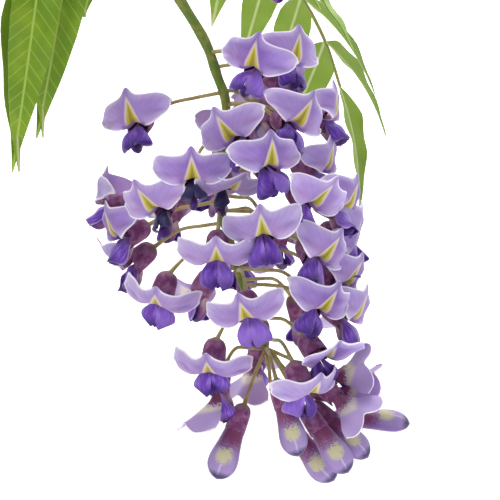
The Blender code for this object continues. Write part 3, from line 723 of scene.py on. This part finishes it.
# where each short spur leaves the wood, its tip, which carries a leaf, and its radius
leafSpurs = [
    ((-3, 5, 300), (-20, 12, 318), 3.4), ((6, -5, 228), (20, -16, 240), 3.2),
    ((8, 3, 355), (-8, -6, 384), 3.4), ((30, 0, 388), (24, 14, 412), 3.0),
    ((64, 0, 415), (60, -4, 438), 2.8), ((45, 0, 403), (43, -14, 412), 2.4),
    ((117, -1, 435.5), (129, -14, 437), 2.2), ((108, 0, 433), (114, 8, 446), 2.2),
]
leaves = {
    # spur, heading, first rise, last rise, length, pairs of leaflets, step of the first, leaflet length, hang
    "leaf_left_of_cluster": (6, 210, 5, -40, 43, 3, 1, 76, 1.5),
    "leaf_behind_cluster": (7, 30, 8, -74, 122, 5, 2, 50, 0.35),
    "leaf_top": (4, 60, 62, 5, 150, 6, 2, 46, 0.45),
    "leaf_front": (5, 250, 40, -30, 130, 5, 2, 46, 0.5),
    "leaf_back": (3, 140, 55, -15, 150, 6, 2, 46, 0.5),
    "leaf_high_left": (2, 205, 50, -10, 160, 6, 2, 48, 0.5),
    "leaf_left": (0, 160, 35, -35, 145, 5, 2, 46, 0.55),
    "leaf_low_front": (1, 290, 35, -35, 120, 5, 2, 42, 0.5),
}
leaflet = {
    "aspect": 0.13, "widest": 7.4, "thick": 0.35,
    "outline": [(0, 0.05), (0.04, 0.3), (0.12, 0.72), (0.25, 0.98), (0.38, 1.0), (0.55, 0.86), (0.72, 0.58),
                (0.85, 0.3), (0.93, 0.13), (1, 0.02)],
}


def spurLine(number):
    root, tip, _ = leafSpurs[number]
    return [Vector(root), (Vector(root) + Vector(tip)) / 2 + Vector((0, 0, 1.5)), Vector(tip)]


def makeLeaflet(root, along, face, towards, length, chance):
    across = face.cross(along).normalized()
    if across.dot(towards) < 0:
        across.negate()
    front = along.cross(across)
    flip = 1 if front.dot(face) > 0 else -1  # keeps the upper side up
    width = min(length * leaflet["aspect"], leaflet["widest"])
    phase = chance.uniform(0, 6.3)
    twist = chance.uniform(-0.25, 0.25)
    shade = chance.uniform(0, 1)

    def place(u, v):
        c = (u * 2 - 1) * -flip
        half = width * between(leaflet["outline"], v)
        spine = root + along * length * v + face * length * (0.1 * v - 0.24 * v * v)
        lift = 0.28 * abs(c) * half + 0.10 * half * math.sin(v * 19 + phase + c) * c * c
        where = spine + across * c * half + face * (lift + twist * c * half * v)
        return where, (0.5 + c * half / 100, length * v / 100), (abs(c), shade, 0)

    return gridPiece("leaflet", 6, 20, place)


def leafletMaterial():
    # thin smooth leaf: half matt, paler ribs pressed into it
    made, add = startMaterial("leafGreen", {
        "Roughness": 0.42, "Subsurface Weight": 0.12, "Subsurface Radius": (0.4, 1.0, 0.2),
        "Subsurface Scale": 0.001, "IOR": 1.42, "Coat Weight": 0.08, "Coat Roughness": 0.35})
    uv = add("uv")
    across, along, _ = add("split", uv)
    x = add("times", add("absolute", add("minus", across, 0.5)), 100.0)
    y = add("times", along, 100.0)
    _, shade, _ = add("splitColour", add("tint"))
    cloud = add("noise", uv, scale=9.0, detail=4.0)  # clouds about 11 mm across
    colour = add("mix", add("step", cloud, 0.35, 0.7), "#5f8508", "#7f9f14")
    colour = add("mix", add("times", shade, 0.4), colour, "#8aa81c")
    side = add("minus", y, add("times", x, 1.15))  # ribs leave the midrib at about 45 degrees
    ribs = add("sine", add("times", side, 2 * math.pi / 4.2))  # and are 4.2 mm apart
    ribs = add("step", ribs, 0.8, 1.0)
    midrib = add("step", x, 0.55, 0.1)
    lines = add("larger", add("times", ribs, 0.45), midrib)
    colour = add("mix", add("times", lines, 0.7), colour, "#b6cc62")
    height = add("minus", add("times", cloud, 0.3), lines)
    return finishMaterial(made, colour, height, 0.25, 0.5)


def leafletBackMaterial():
    # the underside: paler and matt, with a raised midrib
    made, add = startMaterial("leafGreenBack", {
        "Roughness": 0.6, "Subsurface Weight": 0.12, "Subsurface Radius": (0.4, 1.0, 0.2),
        "Subsurface Scale": 0.001, "IOR": 1.42})
    uv = add("uv")
    across, _, _ = add("split", uv)
    x = add("times", add("absolute", add("minus", across, 0.5)), 100.0)
    cloud = add("noise", uv, scale=9.0, detail=4.0)
    colour = add("mix", cloud, "#7d9c26", "#92b040")
    midrib = add("step", x, 0.7, 0.15)
    colour = add("mix", midrib, colour, "#c4d08a")
    return finishMaterial(made, colour, midrib, 0.3, 0.5)


def buildLeaf(name, materials, stalkLook):
    spur, heading, firstRise, lastRise, length, pairs, firstPair, leafletLength, hang = leaves[name]
    chance = random.Random(name)
    turn = math.radians(heading)
    out = Vector((math.cos(turn), math.sin(turn), 0))
    side = Vector((-out.y, out.x, 0))
    steps = pairs + firstPair
    _, before, tip = spurLine(spur)
    axis = (tip - before).normalized()
    line = [tip + axis * 1.2]
    for k in range(steps):
        rise = math.radians(firstRise + (lastRise - firstRise) * (k + 0.5) / steps)
        line.append(line[-1] + (out * math.cos(rise) + Vector((0, 0, math.sin(rise)))) * length / steps)
    blades = []
    for k in range(firstPair, steps + 1):
        ahead = (line[min(k + 1, steps)] - line[max(k - 1, 0)]).normalized()
        up = ahead.cross(side)
        size = leafletLength * (0.74 + 0.26 * math.sin(math.pi * (k - 1) / steps))
        if k == 1:
            size *= 0.62  # a pair by the leaf's foot stays small
        half = 0.9 * (1.3 - 0.6 * k / steps)
        for hand in (-1, 1) if k < steps else (0,):
            if hand:
                along = side * hand * max(1 - 0.6 * hang, 0.15) + ahead * 0.35 - Vector((0, 0, hang))
            else:
                along = ahead - Vector((0, 0, hang * 0.5))
            along.normalize()
            face = up + side * hand * hang
            face = (face - along * face.dot(along)).normalized()
            root = line[k] + (ahead * 1.2 + side * hand * half if hand else Vector((0, 0, 0)))
            blades.append(makeLeaflet(root, along, face, ahead if hand else side, size, chance))
    whole = joinPieces(blades, name + "_blades", materials)
    applyModifier(whole, "SOLIDIFY", {"thickness": leaflet["thick"] * mm, "offset": -1, "material_offset": 1,
                                      "material_offset_rim": 0})
    settle(whole, name)

    def radius(share, turn):
        return between([(0, 1.7), (0.06, 1.1), (1, 0.5)], share)

    stem = tubePiece(name + "_stem", smoothLine(line, 5), radius, 8)
    stem.data.materials.append(stalkLook)
    settle(stem, name)


leafMaterials = [leafletMaterial(), leafletBackMaterial()]
leafStalk = stalkMaterial("leafStalkGreen", "#8fa244", "#9c8f52")
for leafName in leaves:
    buildLeaf(leafName, leafMaterials, leafStalk)
print("leaves done:", len(leaves))


# trunk

trunk = {
    "points": [(0, 0, 70), (0, 0, 140), (-4, 3, 160), (-7, 4, 188), (6, -5, 225), (9, -4, 262),
               (-3, 5, 300), (0, 5, 335), (16, 1, 372), (46, 0, 404), (82, 0, 425), (121, 0, 437)],
    "radii": [15, 15, 13.6, 12.3, 11, 10.2, 9.2, 8.2, 7, 5.6, 4.4, 3.2],
    "strands": 5, "twist": 2.6,
}


def barkMaterial():
    # grey-brown bark: long shallow fissures, darker in the cracks, worn paler on the ridges
    made, add = startMaterial("wisteriaBark", {"Roughness": 0.9, "IOR": 1.4})
    place = add("place")
    stretched = add("mapping", place, scale=(1.0, 1.0, 0.22))  # fissures run along the stem
    cracks = add("noise", stretched, scale=perMetre(3.03), detail=6.0, roughness=0.62)
    patches = add("noise", place, scale=perMetre(22.2), detail=3.0)
    grit = add("noise", place, scale=perMetre(0.714), detail=3.0)
    colour = add("mix", add("step", cracks, 0.36, 0.6), "#40342a", "#87745f")
    colour = add("mix", add("times", add("step", patches, 0.45, 0.7), 0.5), colour, "#a0937f")
    colour = add("mix", add("times", add("step", grit, 0.6, 0.75), 0.3), colour, "#5f6a3a")
    height = add("timesPlus", grit, 0.15, cracks)
    return finishMaterial(made, colour, height, 2.2, 0.9)


def buildTrunk():
    pieces = 16
    line = smoothLine([Vector(p) for p in trunk["points"]], pieces)
    radii = list(enumerate(trunk["radii"]))
    last = len(line) - 1

    def radius(share, turn):
        size = between(radii, share * last / pieces)
        strand = abs(math.sin(trunk["strands"] / 2 * turn + trunk["twist"] * 2 * math.pi * share))
        lump = noise.noise(Vector((math.cos(turn) * 1.5, math.sin(turn) * 1.5, share * 26)))
        fine = noise.noise(Vector((math.cos(turn) * 7, math.sin(turn) * 7, share * 60)))
        end = 0.75 + 0.25 * min(1, (1 - share) * 60)
        return size * (0.93 + 0.10 * strand + 0.07 * lump + 0.03 * fine) * end

    shapes = [tubePiece("stem", line, radius, 72)]
    for number, (_, _, size) in enumerate(leafSpurs):
        spur = smoothLine(spurLine(number), 8)

        def spurRadius(share, turn):
            scale = 1 + 0.1 * math.sin(share * 40) + 0.08 * math.sin(3 * turn + share * 9)
            return size * (1.3 - 0.45 * share) * scale

        shapes.append(tubePiece("spur", spur, spurRadius, 20))
    settle(joinPieces(shapes, "trained_trunk", [barkMaterial()]), "trunk", 80)


buildTrunk()
print("trunk done")


# soil

soil = {
    "radius": 69.6, "foot": 54.6, "top": 132.0, "bottom": 9.4,
    "crown": 5.0,  # how far its middle stands above its edge
    "crumbs": 420, "crumbSize": (0.5, 1.7), "crumbRing": (20, 48), "seed": 11,
}


def soilMaterial():
    # damp peat and loam: dark, crumbly, with a few paler fibres
    made, add = startMaterial("pottingSoil", {"Roughness": 0.95, "IOR": 1.4})
    place = add("place")
    lumps = add("noise", place, scale=perMetre(4.17), detail=6.0, roughness=0.7)
    grit = add("cells", place, scale=perMetre(1.43))
    colour = add("mix", add("step", lumps, 0.35, 0.68), "#20160f", "#4d3826")
    colour = add("mix", add("times", add("step", grit, 0.6, 0.9), 0.35), colour, "#7b6247")
    return finishMaterial(made, colour, add("plus", lumps, grit), 1.2, 0.8)


def soilHeight(share):
    # the bed is crowned, and falls away by the pot's wall; share is 0 in the middle and 1 at the wall
    return soil["top"] + soil["crown"] * (1 - share ** 2) - 2 * max(0, share - 0.85) / 0.15


def buildSoil():
    def place(u, v):
        turn = u * 2 * math.pi
        if v > 0.8:
            share = (1 - v) / 0.2
            size = soil["foot"] + (soil["radius"] - soil["foot"]) * share
            z = soil["bottom"] + (soil["top"] - soil["bottom"] - 2) * share
            if v > 0.999:
                size = 0
        else:
            size = soil["radius"] * v / 0.8
            spot = Vector((math.cos(turn), math.sin(turn), 0)) * size
            z = soilHeight(v / 0.8) + 1.1 * noise.noise(spot * 0.16) + 0.8 * noise.noise(spot * 0.45)
        return Vector((math.cos(turn) * size, math.sin(turn) * size, z)), (u, v), (0, 0, 0)

    shapes = [gridPiece("bed", 96, 50, place, tube=True)]
    chance = random.Random(soil["seed"])
    bpy.ops.mesh.primitive_ico_sphere_add(subdivisions=1, radius=1)
    crumb = bpy.context.object
    crumb.data.attributes.new("petal", "FLOAT_COLOR", "POINT")
    shape = [v.co.copy() for v in crumb.data.vertices]
    for k in range(soil["crumbs"]):
        away = soil["crumbRing"][0] + soil["crumbRing"][1] * math.sqrt(chance.random())
        turn = chance.uniform(0, 2 * math.pi)
        size = chance.uniform(*soil["crumbSize"])
        z = soilHeight(away / soil["radius"]) + 0.3 * size
        middle = Vector((away * math.cos(turn), away * math.sin(turn), z))
        lump = bpy.data.objects.new("crumb", crumb.data.copy())
        bpy.context.scene.collection.objects.link(lump)
        for vertex, start in zip(lump.data.vertices, shape):
            wide, deep = chance.uniform(0.8, 1.2), chance.uniform(0.8, 1.2)
            vertex.co = (middle + Vector((start.x * wide, start.y * deep, start.z * 0.75)) * size) * mm
        shapes.append(lump)
    bpy.data.objects.remove(crumb)
    settle(joinPieces(shapes, "soil_bed", [soilMaterial()]), "soil", 80)


buildSoil()
print("soil done")


# pot

pot = {
    # radius and height round the wall, from the middle of the underside to the middle of the floor inside
    "outline": [(0, 0), (40, 0), (57.2, 0), (58.8, 0.5), (60, 2), (60.6, 5), (76.3, 121.5), (76.6, 123.6),
                (77.4, 124.4), (80.2, 124.8), (81.6, 125.4), (82.2, 127), (84.6, 144), (85, 147),
                (84.3, 149), (82.6, 149.9), (79, 150), (76, 149.8), (73.8, 148.6), (73.0, 146.6),
                (70.8, 126), (54.8, 12.5), (53.6, 10.2), (51.5, 9.1), (30, 9), (0, 9)],
    "holes": 3, "holeRadius": 6.0, "holeCircle": 30.0,
}


def clayMaterial():
    # thrown terracotta, fired and unglazed: matt and chalky, with pale salts near the foot and under the rim
    made, add = startMaterial("terracotta", {"Roughness": 0.85, "IOR": 1.45})
    place = add("place")
    patches = add("noise", place, scale=perMetre(45.5), detail=5.0)
    grit = add("noise", place, scale=perMetre(1.11), detail=3.0)
    ringed = add("mapping", place, scale=(0.15, 0.15, 1.0))
    rings = add("noise", ringed, scale=perMetre(3.33), detail=2.0)
    height = add("times", add("split", place)[2], 1000.0)  # in millimetres
    colour = add("mix", add("step", patches, 0.35, 0.65), "#b3623c", "#c8794e")
    colour = add("mix", add("times", add("step", grit, 0.55, 0.75), 0.3), colour, "#8c4527")
    low = add("step", add("plus", height, add("times", patches, 60.0)), 62.0, 30.0)
    under = add("times", add("step", height, 100.0, 122.0), add("step", patches, 0.5, 0.7))
    bloom = add("times", add("larger", low, under), 0.45)
    colour = add("mix", bloom, colour, "#ddc4ae")
    relief = add("timesPlus", rings, 1.5, add("times", grit, 0.5))
    return finishMaterial(made, colour, relief, 0.5, 0.6)


def buildPot():
    outline = pot["outline"]
    last = len(outline) - 1

    def place(u, v):
        size, z = outline[round(v * last)]
        turn = -u * 2 * math.pi
        thrown = 1 + 0.002 * math.sin(2 * turn + 0.8) * min(size / 40, 1)
        return Vector((math.cos(turn) * size * thrown, math.sin(turn) * size * thrown, z)), (u, v), (0, 0, 0)

    whole = joinPieces([gridPiece("pot", 112, last, place, tube=True)], "clay_pot", [clayMaterial()])
    for k in range(pot["holes"]):
        turn = 2 * math.pi * k / pot["holes"]
        middle = Vector((pot["holeCircle"] * math.cos(turn), pot["holeCircle"] * math.sin(turn), 4)) * mm
        bpy.ops.object.select_all(action="DESELECT")
        bpy.ops.mesh.primitive_cylinder_add(vertices=32, radius=pot["holeRadius"] * mm, depth=30 * mm,
                                            location=middle)
        cutter = bpy.context.object
        applyModifier(whole, "BOOLEAN", {"operation": "DIFFERENCE", "object": cutter})
        bpy.data.objects.remove(cutter)
    settle(whole, "pot", 30)


buildPot()
print("pot done")


# floor, light and camera

stage = {
    "floor": 12, "wall": 24, "wallBack": 5,  # metres
    "floorGlow": 0.25, "wallGlow": 1.0, "room": 0.4,
    # place, size and watts of each lamp
    "lamps": {"softTop": ((0.1, 0.35, 1.3), 0.8, 14), "softFront": ((-0.8, -1.2, 1.1), 0.7, 7),
              "softRight": ((1.3, -0.5, 0.6), 0.8, 2)},
    "lampsAt": (0.15, 0, 0.33),
    "camera": (0.165, -0.8, 0.330), "lens": 180, "sensor": 36,
}


def stageMaterial(name, colour, glow):
    # matt studio paper that glows a little, so that it stays pale
    made, _ = startMaterial(name, {
        "Roughness": 0.9, "Base Color": hexColour(colour), "Emission Color": (1, 1, 1, 1),
        "Emission Strength": glow})
    return made


def buildStage():
    bpy.ops.object.select_all(action="DESELECT")
    bpy.ops.mesh.primitive_plane_add(size=stage["floor"], location=(0, 0, 0))
    floor = bpy.context.object
    floor.name = "studio_floor"
    floor.data.materials.append(stageMaterial("paleFloor", "#f4f4f4", stage["floorGlow"]))
    bpy.ops.mesh.primitive_plane_add(size=stage["wall"], location=(0, stage["wallBack"], 0),
                                     rotation=(math.radians(90), 0, 0))
    wall = bpy.context.object
    wall.name = "studio_backdrop"
    wall.data.materials.append(stageMaterial("whiteBackdrop", "#ffffff", stage["wallGlow"]))
    world = bpy.data.worlds.new("softRoom")
    bpy.context.scene.world = world
    world.use_nodes = True
    world.node_tree.nodes["Background"].inputs[0].default_value = (1, 1, 1, 1)
    world.node_tree.nodes["Background"].inputs[1].default_value = stage["room"]
    for name, (place, size, power) in stage["lamps"].items():
        light = bpy.data.lights.new(name, "AREA")
        light.shape = "DISK"
        light.size = size
        light.energy = power
        lamp = bpy.data.objects.new(name, light)
        bpy.context.scene.collection.objects.link(lamp)
        lamp.location = place
        lamp.rotation_euler = (Vector(stage["lampsAt"]) - Vector(place)).to_track_quat("-Z", "Y").to_euler()
    camera = bpy.data.cameras.new("photoCamera")
    camera.sensor_width = stage["sensor"]
    camera.lens = stage["lens"]
    view = bpy.data.objects.new("photoCamera", camera)
    bpy.context.scene.collection.objects.link(view)
    view.location = stage["camera"]
    view.rotation_euler = (math.radians(90), 0, 0)
    bpy.context.scene.camera = view
    bpy.context.scene.view_settings.view_transform = "Standard"


buildStage()
print("stage done")
